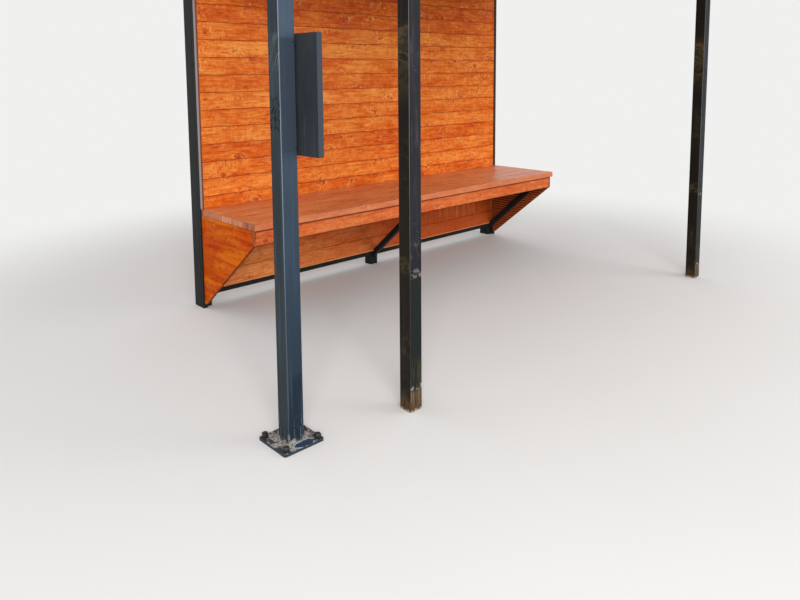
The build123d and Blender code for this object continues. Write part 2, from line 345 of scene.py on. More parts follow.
        # painted shade: darker under the seat's front edge
        dirt = p.times(p.step(above, 0.008, 0.02, (0.85, 0.0)), p.step(normal[1], -0.4, -0.9))
        colour = p.mix(dirt, colour, knot)
    # painted shade: faces that look to the front are darkened
    if not stored and not upright:
        colour = p.mix(p.step(normal[1], -0.4, -0.9, (0.0, 0.5)), colour, lighter(dark, 1.15))
    if end_colour is not None:
        # end grain on the faces that look along the board, darker along its outline
        end = p.step(p.math("ABSOLUTE", normal[end_axis]), 0.6, 0.85)
        cross = 1 if end_axis == 0 else 0
        section = p.combine(world[cross], world[2], 0.0)
        arc = p.noise(section, (130, 12, 1), detail=2.0, distortion=0.4, move=(seed, 0, 0))
        ends = p.mix(p.step(arc, 0.36, 0.5), lighter(end_colour, 0.55), end_colour)
        ends = p.mix(p.times(p.step(arc, 0.54, 0.62), 0.5), ends, lighter(end_colour, 1.5))
        colour = p.mix(end, colour, ends)
        outline = p.math("MINIMUM", p.minus(world[cross], low[cross]), p.minus(high[cross], world[cross]))
        if end_axis == 0:
            thick = p.math("MINIMUM", p.minus(world[2], low[2]), p.minus(high[2], world[2]))
            outline = p.math("MINIMUM", outline, thick)
        line = p.math("MAXIMUM", line, p.times(end, p.fall(outline, 0.0015, 0.0065)))
        # painted shade: faces that look downward are darkened
        slant = p.fall(normal[2], -0.8, -0.4)
        line = p.math("MAXIMUM", line, p.times(slant, 0.8))
    colour = p.mix(p.times(line, edge), colour, knot)
    p.colour(colour)
    p.rough(p.linear(streak, 0.25, gloss - 0.1))
    height = p.plus(p.times(fibre, 0.35), p.times(rings, 0.5))
    height = p.plus(height, p.times(blotch, 0.8))
    p.bump(height, 0.25, 0.001)
    return p.mat


def steel(name, base, low, side=None, rust_to=0.0, cement=0.0, gloss=0.42, seed=0.0, corner=None,
          foot_shade=None, marks=(), cloudy=0.5):
    """Painted steel: mottling, drawn scratches, marks, and rust and cement up from the foot; flanks and the
    low part darker as painted shade, corners lighter as a painted highlight.
    """
    p = Paint(name, roughness=gloss, Specular_IOR_Level=0.07)
    v = p.object_space()
    x, y, z = p.split(v)
    face = p.normal()
    left = p.fall(face[0], -0.9, -0.6)
    front = p.fall(face[1], -0.9, -0.6)
    cloud = p.noise(v, (6.0, 6.0, 2.4), detail=4.0, rough=0.6, move=(seed, 0, 0))
    fine = p.noise(v, (190, 190, 26), rough=0.65, move=(seed, 0, 0))
    high = base
    # painted shade: the paint darkens from high up down towards the foot
    if foot_shade is not None:
        base = p.mix(p.step(z, 0.1, 1.5), foot_shade, base)
        low = p.mix(p.step(z, 0.1, 1.5), lighter(foot_shade, 0.85), low)
    colour = p.mix(p.math("MULTIPLY", p.step(cloud, 0.35, 0.68), cloudy * 2.0, clamp=True), base, low)
    # painted shade: faces that look along x take the darker side colour
    if side is not None:
        shaded_flank = p.step(p.math("ABSOLUTE", face[0]), 0.6, 0.9)
        colour = p.mix(shaded_flank, colour, p.mix(p.step(cloud, 0.4, 0.65), side, lighter(side, 0.75)))
    drawn = p.noise(v, (90.0, 90.0, 1.6), detail=2.0, move=(0, 0, seed))
    colour = p.mix(p.times(p.step(drawn, 0.55, 0.72), 0.2), colour, lighter(high, 2.4, 0.01))
    colour = p.mix(p.times(p.step(fine, 0.55, 0.8), 0.2), colour, lighter(high, 1.8, 0.01))
    for where, bottom, top, soft, scale, slope, low_cut, high_cut, strength, tint in marks:
        across = p.plus(x, y)
        place = p.combine(across, 0.0, p.linear(across, slope, z))
        spot = p.noise(place, (scale[0], 1.0, scale[1]), rough=0.6, move=(seed, 0, top * 3.0))
        on = {"left": left, "front": front, "all": 1.0}[where]
        amount = p.times(p.step(spot, low_cut, high_cut), p.band(z, bottom, top, soft), on)
        colour = p.mix(p.times(amount, strength), colour, tint)
    # painted highlight: the rounded corners, most on the left and higher up, are lightened towards the corner
    # colour
    if corner is not None:
        worn = p.math("MINIMUM", p.math("ABSOLUTE", face[0]), p.math("ABSOLUTE", face[1]))
        worn = p.times(p.step(worn, 0.42, 0.64), p.step(cloud, 0.2, 0.6, (0.35, 0.8)),
                       p.step(face[0], 0.2, -0.2), p.step(z, 0.1, 1.3, (0.3, 1.0)))
        colour = p.mix(worn, colour, corner)
    rough = p.linear(fine, 0.3, gloss - 0.15)
    height = p.times(fine, 0.3)
    if rust_to > 0:
        grime = p.noise(v, (34, 34, 13), detail=5.0, rough=0.7, move=(seed, seed, 0))
        dirt = p.noise(v, (60, 60, 5), detail=4.0, rough=0.65, move=(seed, 0, 2.0))
        reach = p.plus(p.step(z, 0.0, rust_to * 3.0, (0.5, 0.0)), p.linear(dirt, 0.9, -0.45))
        colour = p.mix(p.times(p.step(reach, 0.12, 0.45), 0.5), colour, rgb(74, 62, 42))
        reach = p.plus(p.step(z, 0.0, rust_to, (0.62, 0.0)), p.linear(grime, 0.9, -0.45))
        rusty = p.step(reach, 0.26, 0.46)
        flake = p.noise(v, (120, 120, 80), detail=4.0, rough=0.7)
        rust = p.ramp(flake, (0.3, rgb(46, 32, 20)), (0.5, rgb(88, 60, 34)), (0.68, rgb(136, 106, 66)))
        colour = p.mix(rusty, colour, rust)
        rough = p.plus(rough, p.times(rusty, 0.3), clamp=True)
        height = p.plus(height, p.times(flake, rusty, 1.6))
    if cement > 0:
        drops = p.noise(v, (70, 70, 24), detail=4.0, rough=0.7, move=(5.0, seed, 1.0))
        reach = p.plus(p.step(z, 0.0, cement, (0.42, 0.0)), p.linear(drops, 1.0, -0.5))
        dusty = p.step(reach, 0.2, 0.38)
        colour = p.mix(dusty, colour, p.ramp(drops, (0.35, rgb(118, 112, 102)), (0.7, rgb(174, 167, 154))))
        rough = p.plus(rough, p.times(dusty, 0.4), clamp=True)
        height = p.plus(height, p.times(dusty, 1.2))
    p.colour(colour)
    p.rough(rough)
    p.bump(height, 0.25, 0.001)
    return p.mat


def edge_steel(name, base, face, beside, shown, seed):
    """Dark angle whose front leg, above the seat, has a painted reflection between two places and painted
    shade beside them.
    """
    p = Paint(name, roughness=0.42, Specular_IOR_Level=0.07)
    v = p.object_space()
    x, _, z = p.split(v)
    fine = p.noise(v, (160, 160, 30), rough=0.65, move=(seed, 0, 0))
    front = p.fall(p.normal()[1], -0.95, -0.6)
    above = p.times(front, p.step(z, SEAT_TOP - 0.01, SEAT_TOP + 0.01))
    lit = p.times(above, p.band(x, shown[0], shown[1], 0.002))
    colour = p.mix(p.step(fine, 0.4, 0.7), base, lighter(base, 0.8))
    # painted shade just beside the strip, and the strip lighter between the two places as a painted
    # reflection
    colour = p.mix(p.times(above, p.step(x, shown[1] - 0.002, shown[1])), colour, beside)
    colour = p.mix(p.times(lit, p.linear(fine, 0.3, 0.75)), colour, face)
    p.colour(colour)
    p.rough(p.linear(fine, 0.3, 0.3))
    p.bump(fine, 0.2, 0.0008)
    return p.mat


def plate_steel(name, centre):
    """Blue-grey plate with mortar smeared over the middle and its edges left bare."""
    p = Paint(name, roughness=0.5, Specular_IOR_Level=0.16)
    v = p.scaled(p.object_space(), (1, 1, 1), (-centre.x, -centre.y, 0))
    fine = p.noise(v, (150, 150, 150), detail=4.0, rough=0.7)
    colour = p.mix(p.step(fine, 0.4, 0.75), rgb(54, 64, 72), rgb(38, 46, 52))
    mortar = p.noise(v, (26, 17, 20), detail=5.0, rough=0.68, distortion=0.5, move=(3.0, 1.0, 0))
    spread = p.plus(mortar, p.step(p.from_axis(v), 0.04, 0.15, (0.12, -0.12)))
    up = p.step(p.normal()[2], 0.4, 0.9)
    cover = p.times(p.step(spread, 0.44, 0.54), up)
    # a bare patch in front of the post, with a pale rim
    x, y, _ = p.split(v)
    patch_x, patch_y, half_width, half_depth = 0.012, -0.078, 0.052, 0.024
    wide = p.square(p.linear(x, 1 / half_width, -patch_x / half_width))
    deep = p.square(p.linear(y, 1 / half_depth, -patch_y / half_depth))
    patch = p.plus(p.plus(wide, deep), p.linear(mortar, 3.0, -1.5))
    bare = p.fall(patch, 0.8, 1.0)
    rim = p.times(p.step(patch, 1.6, 1.1), p.minus(1.0, bare), up)
    cover = p.times(cover, p.minus(1.0, bare))
    grit = p.noise(v, (95, 95, 95), detail=5.0, rough=0.75)
    dust = p.ramp(grit, (0.34, rgb(74, 72, 70)), (0.5, rgb(138, 133, 126)), (0.66, rgb(206, 202, 198)))
    colour = p.mix(cover, colour, dust)
    colour = p.mix(p.times(bare, up), colour, rgb(44, 62, 82))
    colour = p.mix(p.times(rim, 0.5), colour, rgb(190, 194, 200))
    p.colour(colour)
    p.rough(p.linear(cover, 0.4, 0.45))
    p.bump(p.plus(p.times(cover, 0.7), p.times(grit, cover, 0.9)), 0.5, 0.002)
    return p.mat


def plain_metal(name, base, gloss, metallic=0.0, seed=0.0):
    """Small metal part with faint wear."""
    p = Paint(name, roughness=gloss, Metallic=metallic)
    v = p.object_space()
    wear = p.noise(v, (140, 140, 140), detail=4.0, rough=0.65, move=(seed, 0, 0))
    p.colour(p.mix(p.step(wear, 0.45, 0.75), base, lighter(base, 0.55)))
    p.rough(p.linear(wear, 0.3, gloss - 0.12))
    p.bump(wear, 0.2, 0.0006)
    return p.mat


def coated_sheet(name, base, seed=0.0):
    """Coated roof sheet with dust and water marks."""
    p = Paint(name, roughness=0.5)
    v = p.object_space()
    dust = p.noise(v, (3.0, 1.2, 3.0), detail=5.0, rough=0.6, move=(seed, 0, 0))
    fine = p.noise(v, (260, 260, 260), detail=2.0)
    colour = p.mix(p.step(dust, 0.4, 0.75, (0.0, 0.35)), base, rgb(126, 124, 118))
    colour = p.mix(p.times(p.step(fine, 0.5, 0.7), 0.2), colour, rgb(40, 42, 44))
    p.colour(colour)
    p.rough(p.linear(dust, 0.3, 0.35))
    p.bump(fine, 0.15, 0.0005)
    return p.mat


RIB_PITCH, RIB_DEPTH = 0.022, 0.005  # of the ribs on the inside of the bench's ends
wall_wood = wood("wall_wood", rgb(240, 150, 66), rgb(216, 102, 28), rgb(182, 60, 12), rgb(124, 38, 8),
                 stored=True, gloss=0.38, sheen=0.06, edge=0.5, edge_dark=0.45)
lower_wood = wood("lower_wood", rgb(238, 154, 92), rgb(218, 118, 54), rgb(170, 72, 28), rgb(92, 32, 10),
                  stored=True, gloss=0.38, sheen=0.06, edge=0.5, drips=0.8, knots=0.6,
                  redden=(-0.9, 0.8, 0.8, rgb(176, 62, 20)), pale_foot=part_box("wall_boards_lower")[0].z)
end_wood = {
    node: wood(node + "_wood", rgb(234, 118, 12), rgb(210, 80, 2), rgb(176, 50, 0), rgb(96, 34, 12),
               box=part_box(node), stored=True, gloss=0.34, sheen=0.03, edge=0.7, edge_dark=0.0, knots=0.35,
               end_axis=1, seed=2.0, end_colour=rgb(176, 96, 62), layers=(1.5, 1.5, 0.3, 0.12, 0.1),
               coarse=2.4, joint=0.25, groove=(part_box(node)[inside].x, RIB_DEPTH))
    for node, inside in (("bench_end_left", 1), ("bench_end_right", 0))
}
# where, lowest, highest, soft end, noise scale across and up, slope, noise from, to, strength, colour
FRONT_MARKS = (
    ("left", 1.44, 1.78, 0.05, (14, 12), 0.2, 0.36, 0.56, 0.65, rgb(60, 50, 34)),
    ("left", 1.69, 1.76, 0.015, (18, 46), 0.3, 0.42, 0.58, 0.8, rgb(84, 68, 50)),
    ("left", 1.6, 1.69, 0.02, (16, 60), -0.3, 0.47, 0.6, 0.75, rgb(80, 72, 52)),
    ("left", 1.5, 1.6, 0.02, (18, 44), 0.2, 0.48, 0.62, 0.6, rgb(70, 60, 42)),
    ("left", 1.04, 1.26, 0.06, (16, 26), -0.3, 0.44, 0.62, 0.5, rgb(56, 50, 34)),
    ("left", 0.655, 0.725, 0.012, (24, 34), 0.3, 0.43, 0.58, 0.6, rgb(78, 70, 42)),
    ("left", 0.24, 0.38, 0.05, (30, 22), 0.4, 0.45, 0.62, 0.5, rgb(72, 62, 44)),
    ("left", 0.0, 0.16, 0.04, (40, 16), 0.0, 0.46, 0.64, 0.5, rgb(66, 60, 48)),
    ("left", 0.02, 0.055, 0.015, (60, 12), 0.0, 0.46, 0.58, 0.6, rgb(128, 84, 40)),
    ("front", 0.03, 0.645, 0.008, (2, 1), 0.0, 0.0, 0.1, 0.9, rgb(28, 34, 32)),
    ("front", 0.634, 0.652, 0.005, (44, 26), 0.3, 0.46, 0.54, 0.75, rgb(132, 126, 116)),
    ("front", 0.656, 0.674, 0.005, (40, 30), 0.3, 0.52, 0.6, 0.6, rgb(126, 122, 112)),
    ("front", 0.73, 0.8, 0.015, (34, 26), 0.6, 0.5, 0.64, 0.55, rgb(96, 94, 100)),
    ("front", 0.8, 0.92, 0.03, (26, 60), 0.5, 0.58, 0.68, 0.5, rgb(100, 100, 102)),
    # painted reflection: the front face lighter and lilac in patches, high up
    ("front", 1.1, 1.8, 0.2, (40, 5), 0.0, 0.5, 0.66, 0.4, rgb(76, 74, 88)),
    ("front", 1.53, 1.6, 0.01, (24, 46), 0.7, 0.6, 0.68, 0.6, rgb(112, 112, 118)),
    ("front", 0.09, 0.24, 0.04, (80, 5), 0.0, 0.42, 0.58, 0.65, rgb(70, 64, 42)),
    ("front", 0.015, 0.105, 0.02, (90, 6), 0.0, 0.4, 0.56, 0.75, rgb(112, 90, 66)),
    ("front", 0.015, 0.1, 0.02, (120, 5), 0.0, 0.54, 0.64, 0.7, rgb(166, 140, 112)),
    ("front", 0.104, 0.124, 0.005, (26, 30), 0.35, 0.5, 0.54, 0.9, rgb(166, 164, 152)),
)
STOP_MARKS = (
    ("left", 1.57, 1.71, 0.015, (9, 80), 1.6, 0.52, 0.64, 0.7, rgb(116, 124, 126)),
    ("left", 1.33, 1.465, 0.012, (60, 70), 1.2, 0.5, 0.55, 0.95, rgb(14, 16, 18)),
    # painted shade: the next two rows darken the front face beside the case and below it
    ("front", 1.235, 1.7, 0.008, (2, 1), 0.0, 0.0, 0.1, 0.75, rgb(52, 60, 70)),
    ("front", 0.3, 1.235, 0.01, (2, 1), 0.0, 0.0, 0.1, 0.55, rgb(48, 60, 72)),
    ("front", 0.6, 1.2, 0.15, (14, 2), 0.0, 0.42, 0.6, 0.35, rgb(54, 76, 100)),
    ("all", 0.012, 0.1, 0.04, (110, 16), 0.0, 0.54, 0.68, 0.6, rgb(150, 152, 150)),
)
# side and corner colours are painted shade on the flanks and painted highlights on the corners; the stop
# post's paint darkens towards the foot as painted shade
frame_dark = steel("frame_steel_front", rgb(33, 33, 38), rgb(25, 26, 30), side=rgb(33, 29, 23), rust_to=0.05,
                   cement=0.022, corner=rgb(108, 106, 108), marks=FRONT_MARKS)
frame_back = steel("frame_steel_back", rgb(34, 37, 38), rgb(27, 29, 30), seed=3.0, corner=rgb(66, 66, 66))
frame_high = steel("frame_steel_high", rgb(42, 42, 44), rgb(35, 35, 36), seed=5.0, corner=rgb(84, 82, 80))
edge_left = edge_steel("edge_steel_left", rgb(36, 38, 39), rgb(158, 146, 146), rgb(112, 66, 54),
                        (LEFT + 0.005, LEFT + 0.019), 4.0)
edge_right = edge_steel("edge_steel_right", rgb(36, 36, 36), rgb(62, 46, 40), rgb(36, 36, 36),
                        (RIGHT - 0.03, RIGHT), 6.0)
stop_blue = steel("stop_steel", rgb(68, 82, 98), rgb(57, 70, 84), side=rgb(50, 60, 66), cement=0.05, seed=8.0,
                  corner=rgb(134, 144, 154), foot_shade=rgb(30, 43, 55), marks=STOP_MARKS, cloudy=0.3)
case_paint = steel("case_steel", rgb(64, 70, 80), rgb(58, 64, 73), side=rgb(56, 60, 65), seed=2.0, gloss=0.38,
                   corner=rgb(112, 124, 138))


def show(material, *nodes):
    """Gives CAD nodes their material."""
    for node in nodes:
        for s in frame["nodes"][node].material_slots:
            s.material = material


show(frame_dark, "post_front_left", "post_front_right")
for place in PLACES:
    show(frame_back, f"post_back_{place}", f"bench_arm_{place}", f"bench_brace_{place}")
show(frame_back, "wall_rail_left", "wall_rail_right")
show(edge_left, "wall_edge_left")
show(edge_right, "wall_edge_right")
for place in ("front", "back", *PLACES):
    show(frame_high, f"roof_beam_{place}")
show(frame_high, "purlin_left_1", "purlin_left_2", "purlin_right_1", "purlin_right_2")
show(coated_sheet("roof_sheet", rgb(74, 77, 80)), "roof_sheet")
trim = coated_sheet("roof_trim", rgb(52, 54, 57), seed=4.0)
show(trim, "roof_trim_front", "roof_trim_left", "roof_trim_right")
show(stop_blue, "stop_post")
plate_low, plate_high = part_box("stop_base_plate")
plate_centre = (plate_low + plate_high) / 2
show(plate_steel("plate_steel", plate_centre), "stop_base_plate")
show(plain_metal("stop_cap", rgb(34, 35, 37), 0.55), "stop_cap")
show(case_paint, "timetable_case")
show(plain_metal("bracket_paint", rgb(32, 35, 38), 0.45, metallic=0.1, seed=1.0),
     "case_bracket_upper", "case_bracket_lower")
pane = Paint("case_pane", roughness=0.06, Transmission_Weight=1.0, IOR=1.49)
pane.mottled(30.0, rgb(238, 243, 244), rgb(228, 235, 237))
show(pane.mat, "case_window")
paper = Paint("case_board", roughness=0.75)
paper.mottled(14.0, rgb(206, 206, 200), rgb(220, 220, 214), detail=4.0)
show(paper.mat, "case_panel")

# the five planks and the fascia board are worn alike
BENCH_LAYERS = (0.9, 0.8, 0.4, 0.3, 0.15)
SEAT_ENDS = (rgb(180, 98, 62), rgb(222, 136, 92), rgb(230, 146, 102), rgb(214, 128, 86), rgb(200, 114, 74))
for i, end_colour in enumerate(SEAT_ENDS):
    node = f"seat_plank_{i + 1}"
    show(wood(f"seat_wood_{i + 1}", rgb(240, 168, 112), rgb(220, 128, 78), rgb(184, 90, 46), rgb(104, 44, 22),
              box=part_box(node), tone=0.5 + 0.08 * (i % 3), end_colour=end_colour, gloss=0.34, seed=1.3 * i,
              sheen=0.3, edge=0.4, edge_dark=0.35, knots=0.7, layers=BENCH_LAYERS, coarse=1.5), node)
show(wood("fascia_wood", rgb(232, 138, 76), rgb(212, 102, 48), rgb(172, 66, 28), rgb(108, 40, 18),
          box=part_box("bench_fascia"), upright=True, end_colour=rgb(186, 104, 66), gloss=0.38, seed=6.0,
          edge=0.35, edge_dark=0.3, knots=0.8, layers=BENCH_LAYERS, coarse=1.5), "bench_fascia")


# Geometry helpers

def link(name, data):
    """Puts an object with this data in the scene."""
    o = bpy.data.objects.new(name, data)
    bpy.context.scene.collection.objects.link(o)
    return o


def mesh_object(name, bm):
    mesh = bpy.data.meshes.new(name)
    bm.to_mesh(mesh)
    bm.free()
    return link(name, mesh)


def piece(name, bm, material, replaces=(), smooth=None):
    """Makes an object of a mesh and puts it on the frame."""
    bmesh.ops.recalc_face_normals(bm, faces=bm.faces)
    o = mesh_object(name, bm)
    o.data.materials.append(material)
    if smooth:
        for poly in o.data.polygons:
            poly.use_smooth = True
        o.data.set_sharp_from_angle(angle=math.radians(smooth))
    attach(o, "root")
    if replaces:
        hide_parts(*replaces)
    return o


def join(bm, rings):
    """Adds the faces between neighbouring rings of points."""
    for a, b in zip(rings, rings[1:]):
        for i in range(len(a)):
            j = (i + 1) % len(a)
            bm.faces.new((a[i], a[j], b[j], b[i]))


def prism(bm, outline, place, low, high):
    """Adds a prism: place(u, v, w) gives the point of outline point (u, v) at depth w."""
    near = [bm.verts.new(place(u, v, low)) for u, v in outline]
    far = [bm.verts.new(place(u, v, high)) for u, v in outline]
    bm.faces.new(near)
    bm.faces.new(list(reversed(far)))
    join(bm, (near, far))


def box_mesh(bm, low, high):
    outline = [(low[0], low[1]), (high[0], low[1]), (high[0], high[1]), (low[0], high[1])]
    prism(bm, outline, lambda u, v, w: (u, v, w), low[2], high[2])


def cut_box(o, low, high):
    """Cuts a box out of an object."""
    bm = bmesh.new()
    box_mesh(bm, low, high)
    bmesh.ops.recalc_face_normals(bm, faces=bm.faces)
    cutter = mesh_object("cut", bm)
    mesh = cutter.data
    m = o.modifiers.new("cut", "BOOLEAN")
    m.object, m.operation, m.solver = cutter, "DIFFERENCE", "EXACT"
    done = bpy.data.meshes.new_from_object(o.evaluated_get(bpy.context.evaluated_depsgraph_get()))
    o.modifiers.clear()
    o.data = done
    bpy.data.objects.remove(cutter)
    bpy.data.meshes.remove(mesh)


def row_at(rows, place):
    """The row of boards that a point lies on, tongues included."""
    near = 0.0001
    tongue = TONGUE_FRONT - 2 * near < place.y - WALL_FRONT < TONGUE_BACK + 2 * near
    for row in rows:
        top = row["high"] + (TONGUE if tongue else 0)
        if row["low"] - near <= place.z <= top + near:
            return row
    return rows[-1]


def store_grain(o, rows, coordinates):
    """Stores each point's place in its board, its distance from both edges, and the board's tone."""
    mesh = o.data
    mesh.attributes.new("grain", "FLOAT_VECTOR", "POINT")
    mesh.attributes.new("rim", "FLOAT_VECTOR", "POINT")
    mesh.attributes.new("tone", "FLOAT", "POINT")
    grain, rim, tone = (mesh.attributes[name] for name in ("grain", "rim", "tone"))
    for i, vert in enumerate(mesh.vertices):
        row = row_at(rows, vert.co)
        u, v, w = coordinates(vert.co)
        grain.data[i].vector = (u + row["shift"][0], v - row["low"] + row["shift"][1], w)
        rim.data[i].vector = (vert.co.z - row["low"], row["high"] - vert.co.z, 0)
        tone.data[i].value = row["tone"]


def board_rows(levels, tones, gap):
    """One row for each board between two joint heights."""
    rows = []
    for i, (low, high, tone) in enumerate(zip(levels, levels[1:], tones)):
        rows.append({
            "low": low + (gap / 2 if i else 0), "high": high - (gap / 2 if i < len(levels) - 2 else 0),
            "shift": (random.uniform(0, 40), random.uniform(0, 9)), "tone": tone,
        })
    return rows


# Wall boards: each one a solid of its own with eased long edges

GAP, EASE = 0.0011, 0.0009
TONGUE, PLAY = 0.006, 0.0005  # height of a tongue, and its play on each side in the groove
TONGUE_FRONT, TONGUE_BACK = 0.007, 0.013  # depths of the tongue behind the board's face
END_PLAY = 0.0015  # by which a board's end may be short
WALL_LEFT, WALL_FRONT, UPPER_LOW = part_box("wall_boards_upper")[0]
WALL_RIGHT, WALL_BACK, UPPER_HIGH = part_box("wall_boards_upper")[1]
LOWER_LOW, LOWER_HIGH = (corner.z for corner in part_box("wall_boards_lower"))


def board_outline(low, high, tongued):
    """Cross-section of a wall board: (depth, height) points, eased in front and grooved below."""
    front, near, far = WALL_FRONT, WALL_FRONT + TONGUE_FRONT, WALL_FRONT + TONGUE_BACK
    pts = [(WALL_BACK, low), (WALL_BACK, high)]
    if tongued:
        pts += [(far, high), (far, high + TONGUE), (near, high + TONGUE), (near, high)]
    pts += [(front + EASE, high), (front + EASE * 0.35, high - EASE * 0.3), (front, high - EASE),
            (front, low + EASE), (front + EASE * 0.35, low + EASE * 0.3), (front + EASE, low)]
    groove = low + TONGUE + 2 * PLAY
    pts += [(near - PLAY, low), (near - PLAY, groove), (far + PLAY, groove), (far + PLAY, low)]
    return pts


def wall(name, node, material, levels, tones, cutters=()):
    """Boards between joint heights, each with a tone of its own, with boxes cut out of them."""
    rows = board_rows(levels, tones, GAP)
    bm = bmesh.new()
    for row in rows:
        left = WALL_LEFT + random.uniform(0, END_PLAY)
        right = WALL_RIGHT - random.uniform(0, END_PLAY)
        outline = board_outline(row["low"], row["high"], row is not rows[-1])
        prism(bm, outline, lambda u, v, w: (w, u, v), left, right)
    o = piece(name, bm, material, (node,))
    for low, high in cutters:
        cut_box(o, low, high)
    store_grain(o, rows, lambda c: (c.x, c.z, c.y))
    return rows


UPPER_JOINT, UPPER_PITCH, UPPER_JOINTS = 0.7516, 0.1143, 13
# the three top boards take the darkest tones, as painted shade under the roof
UPPER_TONES = [0.42, 0.8, 0.62, 0.35, 0.72, 0.55, 0.78, 0.5, 0.66, 0.84, 0.7, 0.3, 0.16, 0.22]
upper_levels = [UPPER_LOW, *(UPPER_JOINT + i * UPPER_PITCH for i in range(UPPER_JOINTS)), UPPER_HIGH]
upper_rows = wall("wall_upper", "wall_boards_upper", wall_wood, upper_levels, UPPER_TONES)

LOWER_JOINTS = [0.232, 0.35, 0.467, 0.585]
# tones darken upward towards the seat, as painted shade under it
LOWER_TONES = [0.72, 0.5, 0.38, 0.3, 0.3]
NOTCH = 0.001  # room beside an arm or brace
THROUGH, OVER = 0.05, 0.02  # how far a cutting box stands out, and over the top
BRACE_NOTCH_TOP = 0.133
cutters = []
for place in PLACES:
    low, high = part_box(f"bench_arm_{place}")
    for bottom, top in ((low.z - NOTCH, LOWER_HIGH + OVER), (0.0, BRACE_NOTCH_TOP)):
        cutters.append(((low.x - NOTCH, WALL_FRONT - THROUGH, bottom),
                        (high.x + NOTCH, WALL_BACK + THROUGH, top)))
lower_rows = wall("wall_lower", "wall_boards_lower", lower_wood, [LOWER_LOW, *LOWER_JOINTS, LOWER_HIGH],
                  LOWER_TONES, cutters)


# Bench ends: horizontal boards, smooth outside and ribbed inside, cut on the slant below

END_GAP, END_EASE = 0.0004, 0.0006
END_JOINTS = [0.147, 0.261, 0.376, 0.49, 0.604]
END_TONES = [0.45, 0.6, 0.5, 0.62, 0.5, 0.58]
END_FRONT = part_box("bench_fascia")[0].z  # lowest point of the front edge
END_TIP = 0.017  # width of the blunt tip beside the post


def end_outline(low, high, outside, inside):
    """Cross-section (x, z) of one board; the inside face is ribbed."""
    toward = 1 if inside > outside else -1
    root, eased = inside - toward * RIB_DEPTH, outside + toward * END_EASE
    pts = [(root, low), (eased, low), (outside, low + END_EASE),
           (outside, high - END_EASE), (eased, high), (root, high)]
    ribs = max(1, round((high - low) / RIB_PITCH))
    pitch = (high - low) / ribs
    for i in range(ribs):
        top = high - i * pitch
        for share, x in ((0.2, root), (0.32, inside), (0.72, inside), (0.86, root)):
            pts.append((x, top - share * pitch))
    return pts


def bench_end(side, node):
    low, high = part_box(node)
    outside, inside = (low.x, high.x) if side < 0 else (high.x, low.x)
    rows = board_rows([low.z, *END_JOINTS, high.z], END_TONES, END_GAP)
    bm = bmesh.new()
    for row in rows:
        outline = end_outline(row["low"], row["high"], outside, inside)
        prism(bm, outline, lambda u, v, w: (u, w, v), low.y, high.y)
    front_low = Vector((0, low.y, END_FRONT))
    along = (Vector((0, high.y - END_TIP, low.z)) - front_low).normalized()
    bmesh.ops.bisect_plane(bm, geom=bm.verts[:] + bm.edges[:] + bm.faces[:], plane_co=front_low,
                           plane_no=(0, along.z, -along.y), clear_outer=True)
    bmesh.ops.holes_fill(bm, edges=[e for e in bm.edges if e.is_boundary], sides=0)
    o = piece(node + "_boards", bm, end_wood[node], (node,))
    store_grain(o, rows, lambda c: (c.y, c.z, c.x))


bench_end(-1, "bench_end_left")
bench_end(1, "bench_end_right")


# Fixings

def axes_along(direction):
    """Two axes square to a direction, and the direction itself."""
    w = Vector(direction).normalized()
    u = w.orthogonal().normalized()
    return u, w.cross(u), w


def ring(bm, centre, axes, radius, count, turn=0.0):
    u, v, _ = axes
    return [bm.verts.new(centre + radius * (math.cos(a) * u + math.sin(a) * v))
            for a in (turn + 2 * math.pi * i / count for i in range(count))]


def close(bm, rings):
    """Adds a closed skin over rings of points."""
    bm.faces.new(list(reversed(rings[0])))
    join(bm, rings)
    bm.faces.new(rings[-1])


def lathe(bm, centre, direction, profile, count, turn=0.0):
    """Closed turned body: profile is a list of (radius, height) from bottom to top."""
    axes = axes_along(direction)
    close(bm, [ring(bm, Vector(centre) + axes[2] * h, axes, r, count, turn) for r, h in profile])


def screw_head(bm, centre, direction, radius=0.0042, count=12):
    """Countersunk head, nearly flush, with a recess for the driver."""
    turn = random.uniform(0, 1)
    u, v, w = axes = axes_along(direction)
    c = Vector(centre)
    base = ring(bm, c - w * 0.0012, axes, radius * 0.8, count, turn)
    edge = ring(bm, c + w * 0.0003, axes, radius, count, turn)
    inner = ring(bm, c + w * 0.0004, axes, radius * 0.5, count, turn)
    recess = []
    for i in range(count):
        a = turn + 2 * math.pi * i / count
        r = radius * (0.44 if i % 2 else 0.3)
        recess.append(bm.verts.new(c - w * 0.001 + r * (math.cos(a) * u + math.sin(a) * v)))
    close(bm, (base, edge, inner, recess))


def nudged(value):
    """A screw's place, as set by hand."""
    return value + random.uniform(-0.002, 0.002)


END_SCREW, MIDDLE_SCREW = 0.048, 0.024  # from the wall's ends, and to the right of the middle
BEHIND_ARMS = (0.55, 0.64)  # heights without screws
NARROW = 0.06  # a board below this height has no screws
screw_paint = plain_metal("screw_paint", rgb(150, 84, 44), 0.4, metallic=0.35)
bm = bmesh.new()
for row in upper_rows + lower_rows:
    height = row["high"] - row["low"]
    if height < NARROW:
        continue
    for x in (WALL_LEFT + END_SCREW, MIDDLE + MIDDLE_SCREW, WALL_RIGHT - END_SCREW):
        for share in (0.24, 0.76):
            z = row["low"] + share * height
            if z < BRACE_NOTCH_TOP + 0.01 or BEHIND_ARMS[0] < z < BEHIND_ARMS[1]:
                continue
            screw_head(bm, (nudged(x), WALL_FRONT + 0.0004, nudged(z)), (0, -1, 0))
piece("wall_screws", bm, screw_paint, smooth=30)

